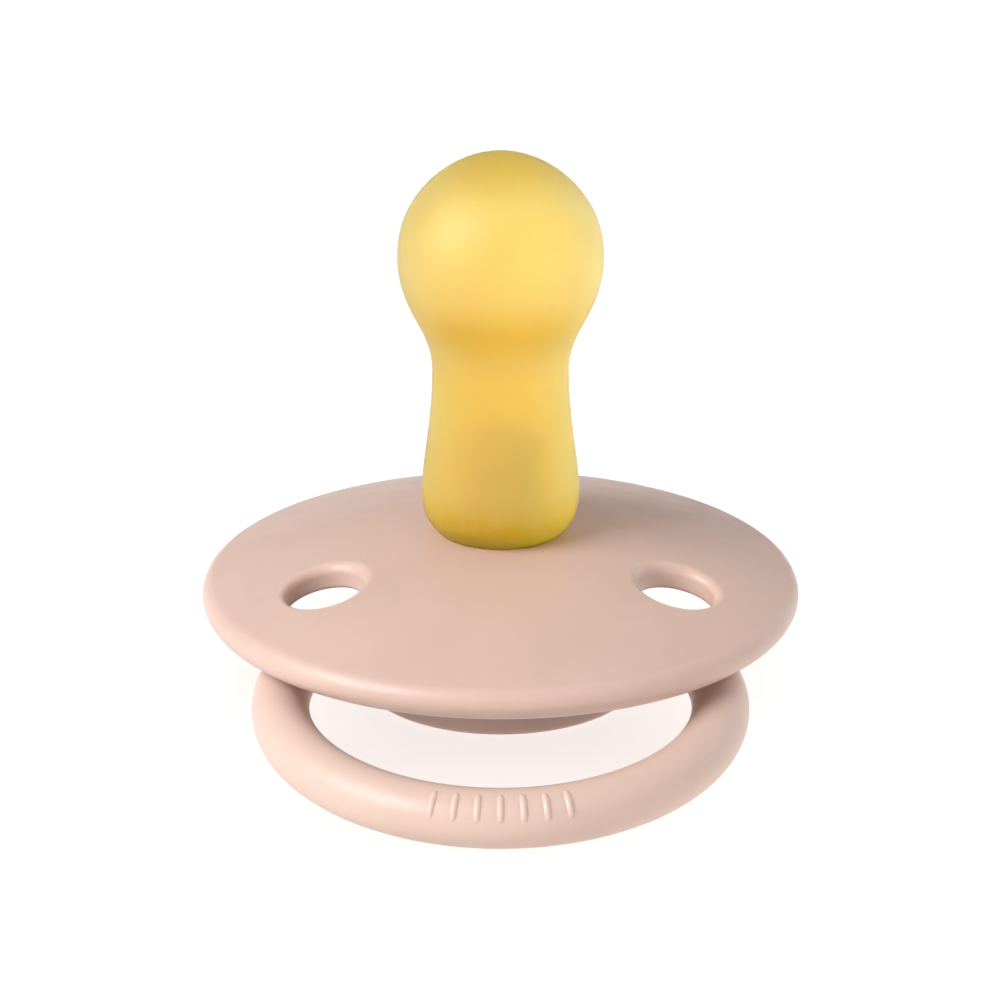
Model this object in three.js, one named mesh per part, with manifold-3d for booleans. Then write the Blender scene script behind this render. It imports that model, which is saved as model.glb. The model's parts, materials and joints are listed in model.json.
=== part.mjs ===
// A baby's pacifier standing on the flat back of its button: a hollow round latex nipple, a domed shield
// with three round vents, an inner plug that clamps the nipple's foot, a button at the back and a ring
// handle that swings on two pins in the button's barrel.
// Millimetres, +Z up the nipple's axis from the button's flat back at z = 0, the lying ring towards -Y.

import * as THREE from 'three';
import { mergeVertices } from 'three/addons/utils/BufferGeometryUtils.js';
import Module from 'manifold-3d';

const wasm = await Module();
wasm.setup();

// ---------------------------------------------------------------- driving dimensions

const DEGREE = Math.PI / 180;
const CLEARANCE = 0.3;             // free space between neighbouring pieces

const SHIELD_RADIUS = 21.5;        // a 43 mm shield, too wide for a baby's mouth
const BEAD_RADIUS = 1.2;           // the rounded rim
const BEAD_HEIGHT = 7.3;           // middle of the rim above the button's back
const DOME_RISE = 4.75;            // the dome's crown above the middle of the rim
const WEB_THICKNESS = 1.85;        // wall of the dome
const NIPPLE_HOLE_RADIUS = 4.3;

const VENT_COUNT = 3;
const VENT_RADIUS = 2.7;
const VENT_ROUNDING = 0.7;         // rounded upper edge of a vent
const VENT_DISTANCE = 14.25;       // from the axis to a vent's centre
const VENT_START = 90 * DEGREE;    // one vent lies straight behind the nipple

const NIPPLE_TIP = 39.6;
const BULB = { radius: 7.24, height: 32.2 };
const NECK = { radius: 4.84, height: 23.9 };
const FOOT = { radius: 5.63, height: 14.7 };
const SEAT_RADIUS = 4.45;          // where the foot comes down on the shield
const NIPPLE_WALL = 1.15;
const MOUTH_RADIUS = 3.05;         // the nipple's open end, round the plug
const FLANGE_RADIUS = 5.6;         // the nipple's flange under the shield
const FLANGE_THICKNESS = 1.1;

const BUTTON_RADIUS = 10.2;
const BUTTON_THICKNESS = 2.3;
const BUTTON_ROUNDING = 0.5;
const BUTTON_FLOOR = 1.6;          // wall under the hollow barrel
const BARREL_RADIUS = 7.7;
const BARREL_BORE = 5.9;
const COLLAR_HEIGHT = 1.3;         // collar under the shield that holds the barrel
const COLLAR_WALL = 1.3;
const SCOOP_CLEARANCE = 0.4;       // room for the swinging ring in the button's sides

const RING_RADIUS = 15.27;         // centre line of the ring
const RING_WIRE = 2.0;             // radius of the ring's round section
const RING_REACH = 12.035;         // from the hinge axis to the ring's centre
const RING_BEND = 2.6;             // bend from the ring into its pins
const RING_TILT = 5.5 * DEGREE;    // the lying ring's front hangs this far below the hinge
const PIN_RADIUS = 1.3;
const PIN_TIP = 4.4;               // from the axis to a pin's inner end
const PIN_HEAD = { radius: 1.75, length: 0.9 };

const PLUG_HUB_RADIUS = 3.5;
const PLUG_HUB_BORE = 2.5;
const PLUG_DISC_THICKNESS = 0.9;
const PLUG_CEILING = 0.6;          // wall between the hub's bore and the disc
const PLUG_SPIGOT_TOP = 19.2;
const PLUG_ROUNDING = 1.2;         // rounded top of the spigot
const PLUG_CHANNEL_RADIUS = 0.9;
const PLUG_NOTCH = { width: 1.6, height: 1.2 };

// ---------------------------------------------------------------- what follows from them

const beadCentreRadius = SHIELD_RADIUS - BEAD_RADIUS;
const domeRadius = (beadCentreRadius ** 2 + DOME_RISE ** 2 - BEAD_RADIUS ** 2)
  / (2 * (DOME_RISE - BEAD_RADIUS));
const domeCentre = BEAD_HEIGHT + DOME_RISE - domeRadius;
const webRadius = domeRadius - WEB_THICKNESS;
const domeTop = (r) => domeCentre + Math.sqrt(domeRadius ** 2 - r ** 2);
const domeUnder = (r) => domeCentre + Math.sqrt(webRadius ** 2 - r ** 2);

const flangeTop = domeUnder(FLANGE_RADIUS) - CLEARANCE;
const flangeBottom = flangeTop - FLANGE_THICKNESS;
const plugDiscTop = flangeBottom - CLEARANCE;
const plugDiscBottom = plugDiscTop - PLUG_DISC_THICKNESS;

// The ring lies on the surface that the button stands on, which sets how high its hinge is.
const hingeHeight = RING_WIRE + (RING_RADIUS + RING_REACH) * Math.sin(RING_TILT);
const shoulder = BARREL_RADIUS + CLEARANCE;

// ---------------------------------------------------------------- shared helpers

const point = (x, y) => new THREE.Vector2(x, y);

/** Points of a circular arc, angles in radians. */
function arc(centreX, centreY, radius, from, to, steps) {
  const points = [];
  for (let i = 0; i <= steps; i += 1) {
    const angle = from + ((to - from) * i) / steps;
    points.push(point(centreX + radius * Math.cos(angle), centreY + radius * Math.sin(angle)));
  }
  return points;
}

/** Leaves out each point that lies on the one before it. */
function withoutRepeats(points) {
  return points.filter((p, i) => i === 0 || p.distanceTo(points[i - 1]) > 1e-4);
}

/** Turns a (radius, height) outline about the Z axis. */
function revolve(outline, segments) {
  const geometry = new THREE.LatheGeometry(withoutRepeats(outline), segments);
  geometry.rotateX(Math.PI / 2);
  return geometry;
}

/** A closed solid from a three.js geometry, with its faces turned outwards. */
function solid(geometry) {
  const bare = geometry.index ? geometry.toNonIndexed() : geometry.clone();
  bare.deleteAttribute('normal');
  bare.deleteAttribute('uv');
  const merged = mergeVertices(bare, 1e-4);
  const positions = merged.attributes.position.array;
  const corners = merged.index.array;
  const [a, b, c] = [new THREE.Vector3(), new THREE.Vector3(), new THREE.Vector3()];
  const faces = [];
  let volume = 0;
  for (let i = 0; i < corners.length; i += 3) {
    const [p, q, r] = corners.slice(i, i + 3);
    if (p !== q && q !== r && r !== p) {
      faces.push([p, q, r]);
      a.fromArray(positions, p * 3);
      b.fromArray(positions, q * 3);
      c.fromArray(positions, r * 3);
      volume += a.dot(b.cross(c)) / 6;
    }
  }
  const outward = volume > 0 ? faces : faces.map(([p, q, r]) => [p, r, q]);
  return new wasm.Manifold(new wasm.Mesh({
    numProp: 3,
    vertProperties: new Float32Array(positions),
    triVerts: new Uint32Array(outward.flat()),
  }));
}

/** A named mesh with its own material, from a solid. */
function piece(name, body, color, roughness) {
  const { vertProperties, triVerts } = body.getMesh();
  const geometry = new THREE.BufferGeometry();
  geometry.setAttribute('position', new THREE.BufferAttribute(new Float32Array(vertProperties), 3));
  geometry.setIndex(new THREE.BufferAttribute(new Uint32Array(triVerts), 1));
  geometry.computeVertexNormals();
  const material = new THREE.MeshStandardMaterial({ color, roughness, metalness: 0 });
  const mesh = new THREE.Mesh(geometry, material);
  mesh.name = name;
  return mesh;
}

/** A round bar along the X axis, between two places on it. */
function barAlongX(radius, from, to) {
  const bar = new THREE.CylinderGeometry(radius, radius, Math.abs(to - from), 20);
  bar.rotateZ(Math.PI / 2);
  bar.translate((from + to) / 2, 0, 0);
  return bar;
}

// ---------------------------------------------------------------- the nipple

/** The smooth line over the nipple's tip, bulb, neck and foot, moved inwards by a wall's thickness. */
function nippleLine(inset, endRadius, endHeight, divisions) {
  const tip = NIPPLE_TIP - inset;
  const bulb = BULB.radius - inset;
  const neck = NECK.radius - inset;
  const foot = FOOT.radius - inset;
  const path = new THREE.Path();
  path.moveTo(0, tip);
  path.bezierCurveTo(3.15, tip, bulb, BULB.height + 4.6, bulb, BULB.height);
  path.bezierCurveTo(bulb, BULB.height - 3.8, neck, NECK.height + 3.2, neck, NECK.height);
  path.bezierCurveTo(neck, NECK.height - 3.9, foot, FOOT.height + 2.4, foot, FOOT.height);
  path.quadraticCurveTo(foot, endHeight + 0.2, endRadius, endHeight);
  return path.getPoints(divisions);
}

function makeNipple() {
  const stem = NIPPLE_HOLE_RADIUS - CLEARANCE;
  const seat = domeTop(SEAT_RADIUS) + CLEARANCE;
  const outline = [
    ...nippleLine(0, SEAT_RADIUS, seat, 6),
    point(stem, seat),
    point(stem, flangeTop),
    point(FLANGE_RADIUS, flangeTop),
    point(FLANGE_RADIUS, flangeBottom),
    point(MOUTH_RADIUS, flangeBottom),
    ...nippleLine(NIPPLE_WALL, MOUTH_RADIUS, seat, 4).reverse(),
  ];
  return solid(revolve(outline, 40));
}

// ---------------------------------------------------------------- the shield

/** Cuts one vent straight down through the dome, with an upper edge that is rounded along the dome. */
function ventCutter(angle) {
  const edge = VENT_RADIUS + VENT_ROUNDING;
  const outline = [
    point(0, -2 * WEB_THICKNESS),
    point(VENT_RADIUS, -2 * WEB_THICKNESS),
    ...arc(edge, -VENT_ROUNDING, VENT_ROUNDING, 180 * DEGREE, 90 * DEGREE, 4),
    point(edge, WEB_THICKNESS),
    point(0, WEB_THICKNESS),
  ];
  const cutter = revolve(outline, 32);
  cutter.translate(VENT_DISTANCE, 0, 0);
  const places = cutter.attributes.position;
  for (let i = 0; i < places.count; i += 1) {
    const reach = Math.hypot(places.getX(i), places.getY(i));
    places.setZ(i, places.getZ(i) + domeTop(reach));
  }
  cutter.rotateZ(angle);
  return solid(cutter);
}

function makeShield() {
  const collarInner = shoulder;
  const collarOuter = collarInner + COLLAR_WALL;
  const collarBottom = domeUnder(collarInner) - COLLAR_HEIGHT;
  const underAngle = (r) => Math.acos(r / webRadius);
  const rimAngle = Math.atan2(BEAD_HEIGHT - domeCentre, beadCentreRadius);
  const beadTurn = 2 * Math.PI - Math.acos(1 - WEB_THICKNESS / BEAD_RADIUS);
  const creaseRadius = beadCentreRadius + BEAD_RADIUS * Math.cos(rimAngle - beadTurn);
  const outline = [
    ...arc(0, domeCentre, domeRadius, Math.acos(NIPPLE_HOLE_RADIUS / domeRadius), rimAngle, 6),
    ...arc(beadCentreRadius, BEAD_HEIGHT, BEAD_RADIUS, rimAngle, rimAngle - beadTurn, 9),
    ...arc(0, domeCentre, webRadius, underAngle(creaseRadius), underAngle(collarOuter), 3),
    point(collarOuter, collarBottom),
    point(collarInner, collarBottom),
    ...arc(0, domeCentre, webRadius, underAngle(collarInner), underAngle(NIPPLE_HOLE_RADIUS), 2),
  ];
  outline.push(outline[0].clone());
  let body = solid(revolve(outline, 72));
  for (let i = 0; i < VENT_COUNT; i += 1) {
    body = body.subtract(ventCutter(VENT_START + (i / VENT_COUNT) * 2 * Math.PI));
  }
  return body;
}

// ---------------------------------------------------------------- the inner plug

function makePlug() {
  const bottom = BUTTON_FLOOR + CLEARANCE;
  const ceiling = plugDiscBottom - PLUG_CEILING;
  const spigot = MOUTH_RADIUS - CLEARANCE;
  const outline = [
    point(PLUG_HUB_BORE, bottom),
    point(PLUG_HUB_RADIUS, bottom),
    point(PLUG_HUB_RADIUS, plugDiscBottom),
    point(FLANGE_RADIUS, plugDiscBottom),
    point(FLANGE_RADIUS, plugDiscTop),
    point(spigot, plugDiscTop),
    ...arc(spigot - PLUG_ROUNDING, PLUG_SPIGOT_TOP - PLUG_ROUNDING, PLUG_ROUNDING, 0, 90 * DEGREE, 3),
    point(PLUG_CHANNEL_RADIUS, PLUG_SPIGOT_TOP),
    point(PLUG_CHANNEL_RADIUS, ceiling),
    point(PLUG_HUB_BORE, ceiling),
    point(PLUG_HUB_BORE, bottom),
  ];
  // A notch across the hub's foot lets the nipple's air out towards the pins.
  const notch = new THREE.BoxGeometry(PLUG_NOTCH.width, 3 * PLUG_HUB_RADIUS, 2 * PLUG_NOTCH.height);
  notch.translate(0, 0, bottom);
  return solid(revolve(outline, 32)).subtract(solid(notch));
}

// ---------------------------------------------------------------- the back button

/** The space that the swinging ring sweeps beside the barrel, on one side. */
function scoopCutter(side) {
  const inner = RING_RADIUS - RING_WIRE;
  const steps = 6;
  const outline = [point(0, shoulder - CLEARANCE)];
  for (let i = 0; i <= steps; i += 1) {
    const x = shoulder - CLEARANCE + (i / steps) * (BUTTON_RADIUS + 0.6 - shoulder + CLEARANCE);
    const ring = RING_REACH - Math.sqrt(inner ** 2 - x ** 2);
    outline.push(point(Math.max(ring, RING_WIRE) + SCOOP_CLEARANCE, x));
  }
  outline.push(point(0, outline[outline.length - 1].y));
  const cutter = revolve(outline, 40);
  cutter.rotateY(side * 90 * DEGREE);
  cutter.translate(0, 0, hingeHeight);
  return solid(cutter);
}

function makeButton() {
  const edge = BUTTON_RADIUS - BUTTON_ROUNDING;
  const barrelTop = domeUnder(BARREL_RADIUS) - CLEARANCE;
  const outline = [
    point(0, 0),
    ...arc(edge, BUTTON_ROUNDING, BUTTON_ROUNDING, -90 * DEGREE, 0, 3),
    ...arc(edge, BUTTON_THICKNESS - BUTTON_ROUNDING, BUTTON_ROUNDING, 0, 90 * DEGREE, 3),
    point(BARREL_RADIUS, BUTTON_THICKNESS),
    point(BARREL_RADIUS, barrelTop),
    point(BARREL_BORE, barrelTop),
    point(BARREL_BORE, BUTTON_FLOOR),
    point(0, BUTTON_FLOOR),
  ];
  const pinHole = barAlongX(PIN_RADIUS + CLEARANCE, -BUTTON_RADIUS, BUTTON_RADIUS);
  pinHole.translate(0, 0, hingeHeight);
  return solid(revolve(outline, 48))
    .subtract(solid(pinHole))
    .subtract(scoopCutter(1))
    .subtract(scoopCutter(-1));
}

// ---------------------------------------------------------------- the ring handle

/** The ring's centre line, from its shoulder on one side of the barrel round to the other. */
function ringLine() {
  const bendX = Math.sqrt((RING_RADIUS - RING_BEND) ** 2 - (RING_REACH - RING_BEND) ** 2);
  const join = Math.atan2(RING_REACH - RING_BEND, bendX);
  const line = withoutRepeats([
    point(shoulder, 0),
    ...arc(bendX, -RING_BEND, RING_BEND, 90 * DEGREE, join, 3),
    ...arc(0, -RING_REACH, RING_RADIUS, join, -180 * DEGREE - join, 60),
    ...arc(-bendX, -RING_BEND, RING_BEND, 180 * DEGREE - join, 90 * DEGREE, 3),
    point(-shoulder, 0),
  ]);
  return new THREE.CatmullRomCurve3(line.map((p) => new THREE.Vector3(p.x, p.y, 0)));
}

function makeRing() {
  const section = new THREE.Shape().absarc(0, 0, RING_WIRE, 0, 2 * Math.PI);
  const hoop = new THREE.ExtrudeGeometry(section, {
    extrudePath: ringLine(),
    steps: 84,
    curveSegments: 6,
    bevelEnabled: false,
  });
  let body = solid(hoop);
  for (const side of [-1, 1]) {
    const pin = barAlongX(PIN_RADIUS, side * PIN_TIP, side * (shoulder + CLEARANCE));
    const head = barAlongX(PIN_HEAD.radius, side * PIN_TIP, side * (PIN_TIP + PIN_HEAD.length));
    body = body.add(solid(pin)).add(solid(head));
  }
  return body;
}

// ---------------------------------------------------------------- assembly

const BLUSH = 0xe0c0b2;
const BLUSH_RING = 0xe4c6b8;
const AMBER = 0xfad57d;
const MILK = 0xf2ece4;

const pacifier = new THREE.Group();
pacifier.add(piece('nipple', makeNipple(), AMBER, 0.35));
pacifier.add(piece('shield', makeShield(), BLUSH, 0.45));
pacifier.add(piece('inner_plug', makePlug(), MILK, 0.5));
pacifier.add(piece('back_button', makeButton(), BLUSH, 0.45));

const hinge = new THREE.Group();
hinge.position.set(0, 0, hingeHeight);
hinge.rotation.x = RING_TILT;
hinge.add(piece('ring_handle', makeRing(), BLUSH_RING, 0.45));
pacifier.add(hinge);

export default pacifier;
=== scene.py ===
"""A baby's pacifier with a round latex nipple, a domed shield and a swinging ring handle.

The file is laid out as an add-on and run as a script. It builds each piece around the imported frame, in
metres: +Z runs up the nipple's axis from the flat back of the button at z = 0, and the lying ring reaches
towards -Y.
"""

import json
from math import acos, atan2, cos, pi, sin, sqrt, tan

import bmesh
import bpy
import numpy as np
from bpy.props import FloatProperty, FloatVectorProperty, IntProperty, PointerProperty
from mathutils import Matrix, Vector


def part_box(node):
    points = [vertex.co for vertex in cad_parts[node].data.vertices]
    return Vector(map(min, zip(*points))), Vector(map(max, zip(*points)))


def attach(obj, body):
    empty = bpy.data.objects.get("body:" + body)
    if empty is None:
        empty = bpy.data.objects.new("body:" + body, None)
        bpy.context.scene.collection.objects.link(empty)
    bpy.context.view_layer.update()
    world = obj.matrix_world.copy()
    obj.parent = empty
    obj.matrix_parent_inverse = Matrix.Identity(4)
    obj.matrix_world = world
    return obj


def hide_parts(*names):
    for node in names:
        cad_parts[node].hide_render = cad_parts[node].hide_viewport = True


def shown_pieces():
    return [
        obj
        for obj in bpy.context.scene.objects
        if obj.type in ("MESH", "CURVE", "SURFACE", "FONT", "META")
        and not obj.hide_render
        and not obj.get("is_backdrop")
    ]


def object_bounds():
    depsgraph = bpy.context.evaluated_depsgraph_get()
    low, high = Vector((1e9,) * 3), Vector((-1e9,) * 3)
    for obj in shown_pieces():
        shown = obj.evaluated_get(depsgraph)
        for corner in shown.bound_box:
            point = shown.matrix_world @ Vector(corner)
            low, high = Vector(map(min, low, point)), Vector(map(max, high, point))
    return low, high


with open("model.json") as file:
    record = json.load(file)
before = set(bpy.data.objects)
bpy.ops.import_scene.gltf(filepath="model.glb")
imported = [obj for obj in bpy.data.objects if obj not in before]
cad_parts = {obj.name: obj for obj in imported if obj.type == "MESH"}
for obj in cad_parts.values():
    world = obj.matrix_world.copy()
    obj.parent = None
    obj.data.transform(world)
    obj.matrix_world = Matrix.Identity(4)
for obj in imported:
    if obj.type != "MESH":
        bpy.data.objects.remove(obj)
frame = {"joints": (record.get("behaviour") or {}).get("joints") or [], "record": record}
CAD_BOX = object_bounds()

bl_info = {
    "name": "Pacifier",
    "version": (1, 0, 0),
    "blender": (4, 5, 0),
    "location": "View3D > Sidebar > Pacifier",
    "description": "Builds a round-shield pacifier piece by piece around its packed frame",
    "category": "Object",
}

MM = 0.001
DEGREE = pi / 180
TOUCH = 0.02 * MM          # what is left between two pieces that press on each other
GAP = 0.3 * MM             # what is left between two pieces that are pressed home for life
NIPPLE_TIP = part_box("nipple")[1].z
HINGE = Vector(next(joint["pos_m"] for joint in frame["joints"] if joint["name"] == "ring_hinge"))


# ---------------------------------------------------------------- sizes and colours that a user would change

def length(name, description, default):
    """A length setting, its default given in millimetres."""
    return FloatProperty(name=name, description=description, default=default * MM, min=0.0,
                         precision=5, unit="LENGTH")


def tint(name, description, default):
    """A colour setting."""
    return FloatVectorProperty(name=name, description=description, default=default, size=3,
                               min=0.0, max=1.0, subtype="COLOR")


class ShieldSizes(bpy.types.PropertyGroup):
    """Sizes of the domed shield and its vents."""

    radius: length("Radius", "From the axis to the outside of the rim", 21.5)
    bead: length("Rim rounding", "Radius of the rounded rim", 1.2)
    bead_height: length("Rim height", "Middle of the rim above the button's back", 7.3)
    rise: length("Dome rise", "From the middle of the rim up to the dome's crown", 4.75)
    web: length("Wall", "Thickness of the dome", 1.85)
    nipple_hole: length("Nipple hole", "Radius of the hole for the nipple", 4.3)
    vents: IntProperty(name="Vents", description="Number of round vents", default=3, min=0)
    vent_radius: length("Vent radius", "Half the width of a vent", 2.7)
    vent_rounding: length("Vent rounding", "Rounded upper edge of a vent", 0.7)
    vent_distance: length("Vent distance", "From the axis to the middle of a vent", 14.25)
    vent_start: FloatProperty(name="First vent", description="Where the first vent lies, from +X",
                              default=90 * DEGREE, subtype="ANGLE")
    collar: length("Collar height", "Collar under the shield that holds the barrel", 1.3)
    collar_wall: length("Collar wall", "Thickness of the collar", 1.3)
    ease: length("Eased edge", "Rounding of the small moulded edges", 0.18)


class NippleSizes(bpy.types.PropertyGroup):
    """Sizes of the latex nipple."""

    bulb: length("Bulb radius", "Widest half width of the bulb", 7.24)
    bulb_height: length("Bulb height", "Height of the bulb's widest place", 32.2)
    neck: length("Neck radius", "Narrowest half width of the neck", 4.84)
    neck_height: length("Neck height", "Height of the neck's narrowest place", 23.9)
    foot: length("Foot radius", "Widest half width of the foot", 5.63)
    foot_height: length("Foot height", "Height of the foot's widest place", 14.7)
    seat: length("Seat radius", "Where the foot comes down on the shield", 4.45)
    wall: length("Wall", "Thickness of the latex", 1.15)
    mouth: length("Mouth radius", "The open end round the plug", 3.05)
    flange: length("Flange radius", "The flange under the shield", 5.6)
    flange_thickness: length("Flange thickness", "Thickness of the flange", 1.1)


class ButtonSizes(bpy.types.PropertyGroup):
    """Sizes of the button at the back and of its hollow barrel."""

    radius: length("Radius", "Half the width of the button", 10.2)
    thickness: length("Thickness", "Thickness of the button's disc", 2.3)
    rounding: length("Rounding", "Rounding of the disc's edge", 0.5)
    floor: length("Floor", "Wall under the hollow barrel", 1.6)
    barrel: length("Barrel radius", "Outside of the barrel", 7.7)
    bore: length("Barrel bore", "Inside of the barrel", 5.9)
    groove: length("Groove radius", "Middle of the shallow groove in the back", 7.9)
    groove_width: length("Groove width", "Width of the shallow groove in the back", 0.9)
    groove_depth: length("Groove depth", "Depth of the shallow groove in the back", 0.25)


class RingSizes(bpy.types.PropertyGroup):
    """Sizes of the ring handle, its pins and its grip ribs."""

    radius: length("Radius", "Centre line of the ring", 15.27)
    wire: length("Section", "Radius of the ring's round section", 2.0)
    reach: length("Reach", "From the hinge axis to the ring's centre", 12.035)
    bend: length("Bend", "Bend from the ring into its pins", 2.6)
    tilt: FloatProperty(name="Tilt", description="How far the lying ring's front hangs below its hinge",
                        default=5.5 * DEGREE, subtype="ANGLE")
    pin: length("Pin radius", "Radius of the pins", 1.3)
    pin_tip: length("Pin tip", "From the axis to a pin's inner end", 4.4)
    head: length("Pin head radius", "Radius of the heads that snap into the barrel", 1.75)
    head_length: length("Pin head length", "Length of the heads", 0.9)
    ribs: IntProperty(name="Grip ribs", description="Number of ribs on the ring's front", default=7, min=0)
    rib_pitch: length("Rib pitch", "Distance between two ribs", 1.4)
    rib_width: length("Rib width", "Width of a rib", 0.62)
    rib_height: length("Rib height", "How far a rib stands proud", 0.16)


class PlugSizes(bpy.types.PropertyGroup):
    """Sizes of the plug that clamps the nipple."""

    hub: length("Hub radius", "Outside of the hub", 3.5)
    hub_bore: length("Hub bore", "Inside of the hub", 2.5)
    disc: length("Disc thickness", "The disc that presses on the nipple's flange", 0.9)
    ceiling: length("Ceiling", "Wall between the hub's bore and the disc", 0.6)
    spigot_top: length("Spigot top", "Height of the spigot inside the nipple", 19.2)
    rounding: length("Spigot rounding", "Rounded top of the spigot", 1.2)
    channel: length("Air channel", "Radius of the channel through the spigot", 0.9)
    notch: length("Notch width", "Width of the notch across the hub's foot", 1.6)
    notch_height: length("Notch height", "Height of the notch across the hub's foot", 1.2)


class Colours(bpy.types.PropertyGroup):
    """Colours of the pacifier and of its stage."""

    latex: tint("Latex", "Natural rubber latex", (0.99, 0.775, 0.28))
    # The deep latex colour also paints the shade in the band under the bulb.
    latex_deep: tint("Deep latex", "Thicker and shaded latex", (0.90, 0.62, 0.006))
    shield: tint("Shield", "Blush plastic of the shield", (0.520, 0.368, 0.310))
    ring: tint("Ring", "Blush plastic of the ring", (0.56, 0.405, 0.34))
    # Painted shade: the button's blush is darker than the shield's, standing for the shade it sits in under
    # the shield.
    button: tint("Button", "Blush plastic of the button", (0.40, 0.28, 0.235))
    plug: tint("Plug", "Blush plastic of the plug", (0.50, 0.36, 0.30))
    paper: tint("Paper", "Pale floor of the stage", (0.90, 0.90, 0.90))


class PacifierSettings(bpy.types.PropertyGroup):
    """Everything that can be changed about the pacifier."""

    shield: PointerProperty(type=ShieldSizes)
    nipple: PointerProperty(type=NippleSizes)
    button: PointerProperty(type=ButtonSizes)
    ring: PointerProperty(type=RingSizes)
    plug: PointerProperty(type=PlugSizes)
    colours: PointerProperty(type=Colours)


# ---------------------------------------------------------------- outlines, as (x, z) points

def arc(centre_x, centre_z, radius, start, end, steps):
    """Points of a circular arc, angles in radians."""
    angles = [start + (end - start) * i / steps for i in range(steps + 1)]
    return [(centre_x + radius * cos(a), centre_z + radius * sin(a)) for a in angles]


def bezier(points, steps):
    """Points of a curve with two or three control points between or beside its ends, without its start."""
    line = []
    for i in range(1, steps + 1):
        t = i / steps
        level = [Vector(p) for p in points]
        while len(level) > 1:
            level = [a.lerp(b, t) for a, b in zip(level, level[1:])]
        line.append(tuple(level[0]))
    return line


def eased(corners, steps=5, closed=False):
    """An outline whose (x, z, rounding) corners are replaced by small arcs; other points stay as they are."""
    line = []
    count = len(corners)
    for i, corner in enumerate(corners):
        here = Vector(corner[:2])
        if len(corner) == 2 or (not closed and i in (0, count - 1)):
            line.append(tuple(here))
            continue
        back = Vector(corners[i - 1][:2]) - here
        ahead = Vector(corners[(i + 1) % count][:2]) - here
        half = back.angle(ahead) / 2
        reach = min(corner[2] / tan(half), 0.49 * back.length, 0.49 * ahead.length)
        rounding = reach * tan(half)
        middle = here + (back.normalized() + ahead.normalized()).normalized() * rounding / sin(half)
        start = here + back.normalized() * reach - middle
        turn = start.angle_signed(here + ahead.normalized() * reach - middle)
        for k in range(steps + 1):
            spoke = start.copy()
            spoke.rotate(Matrix.Rotation(-turn * k / steps, 2))
            line.append(tuple(middle + spoke))
    if closed:
        line.append(line[0])
    return line


def outline_mesh(name, line, girths=None):
    """A mesh of edges along a line of (x, z) or (x, y, z) points, with the girth at each point if given."""
    kept = [0] + [i for i in range(1, len(line)) if (Vector(line[i]) - Vector(line[i - 1])).length > 1e-8]
    points = [line[i] if len(line[i]) == 3 else (line[i][0], 0.0, line[i][1]) for i in kept]
    mesh = bpy.data.meshes.new(name)
    mesh.from_pydata(points, [(i, i + 1) for i in range(len(points) - 1)], [])
    if girths:
        attribute = mesh.attributes.new("girth", "FLOAT", "POINT")
        attribute.data.foreach_set("value", [girths[i] for i in kept])
    return mesh


# ---------------------------------------------------------------- node trees

SEAM = 1e-7                # points this close together are merged, in metres


def node(tree, kind, values=None, **settings):
    """Adds a node, sets its properties, and sets or links its inputs by name or number."""
    made = tree.nodes.new(kind)
    for key, value in settings.items():
        setattr(made, key, value)
    for socket, value in (values or {}).items():
        if isinstance(value, bpy.types.NodeSocket):
            tree.links.new(value, made.inputs[socket])
        else:
            made.inputs[socket].default_value = value
    return made


def maths(tree, operation, first, second=0.0):
    """The result of one sum on numbers or sockets."""
    return node(tree, "ShaderNodeMath", {0: first, 1: second}, operation=operation).outputs[0]


def new_tree(name, inputs):
    """A geometry tree with named inputs after its geometry; returns the tree and its inputs' sockets."""
    tree = bpy.data.node_groups.new(name, "GeometryNodeTree")
    tree.interface.new_socket("Geometry", in_out="INPUT", socket_type="NodeSocketGeometry")
    for label, kind in inputs:
        tree.interface.new_socket(label, in_out="INPUT", socket_type=f"NodeSocket{kind}")
    tree.interface.new_socket("Geometry", in_out="OUTPUT", socket_type="NodeSocketGeometry")
    return tree, tree.nodes.new("NodeGroupInput").outputs


def close_tree(tree, geometry, material):
    """Ends a tree with smooth shading, real geometry and a material."""
    smooth = node(tree, "GeometryNodeSetShadeSmooth", {"Geometry": geometry})
    real = node(tree, "GeometryNodeRealizeInstances", {"Geometry": smooth.outputs[0]})
    painted = node(tree, "GeometryNodeSetMaterial", {"Geometry": real.outputs[0], "Material": material})
    end = tree.nodes.new("NodeGroupOutput")
    tree.links.new(painted.outputs[0], end.inputs[0])


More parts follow.
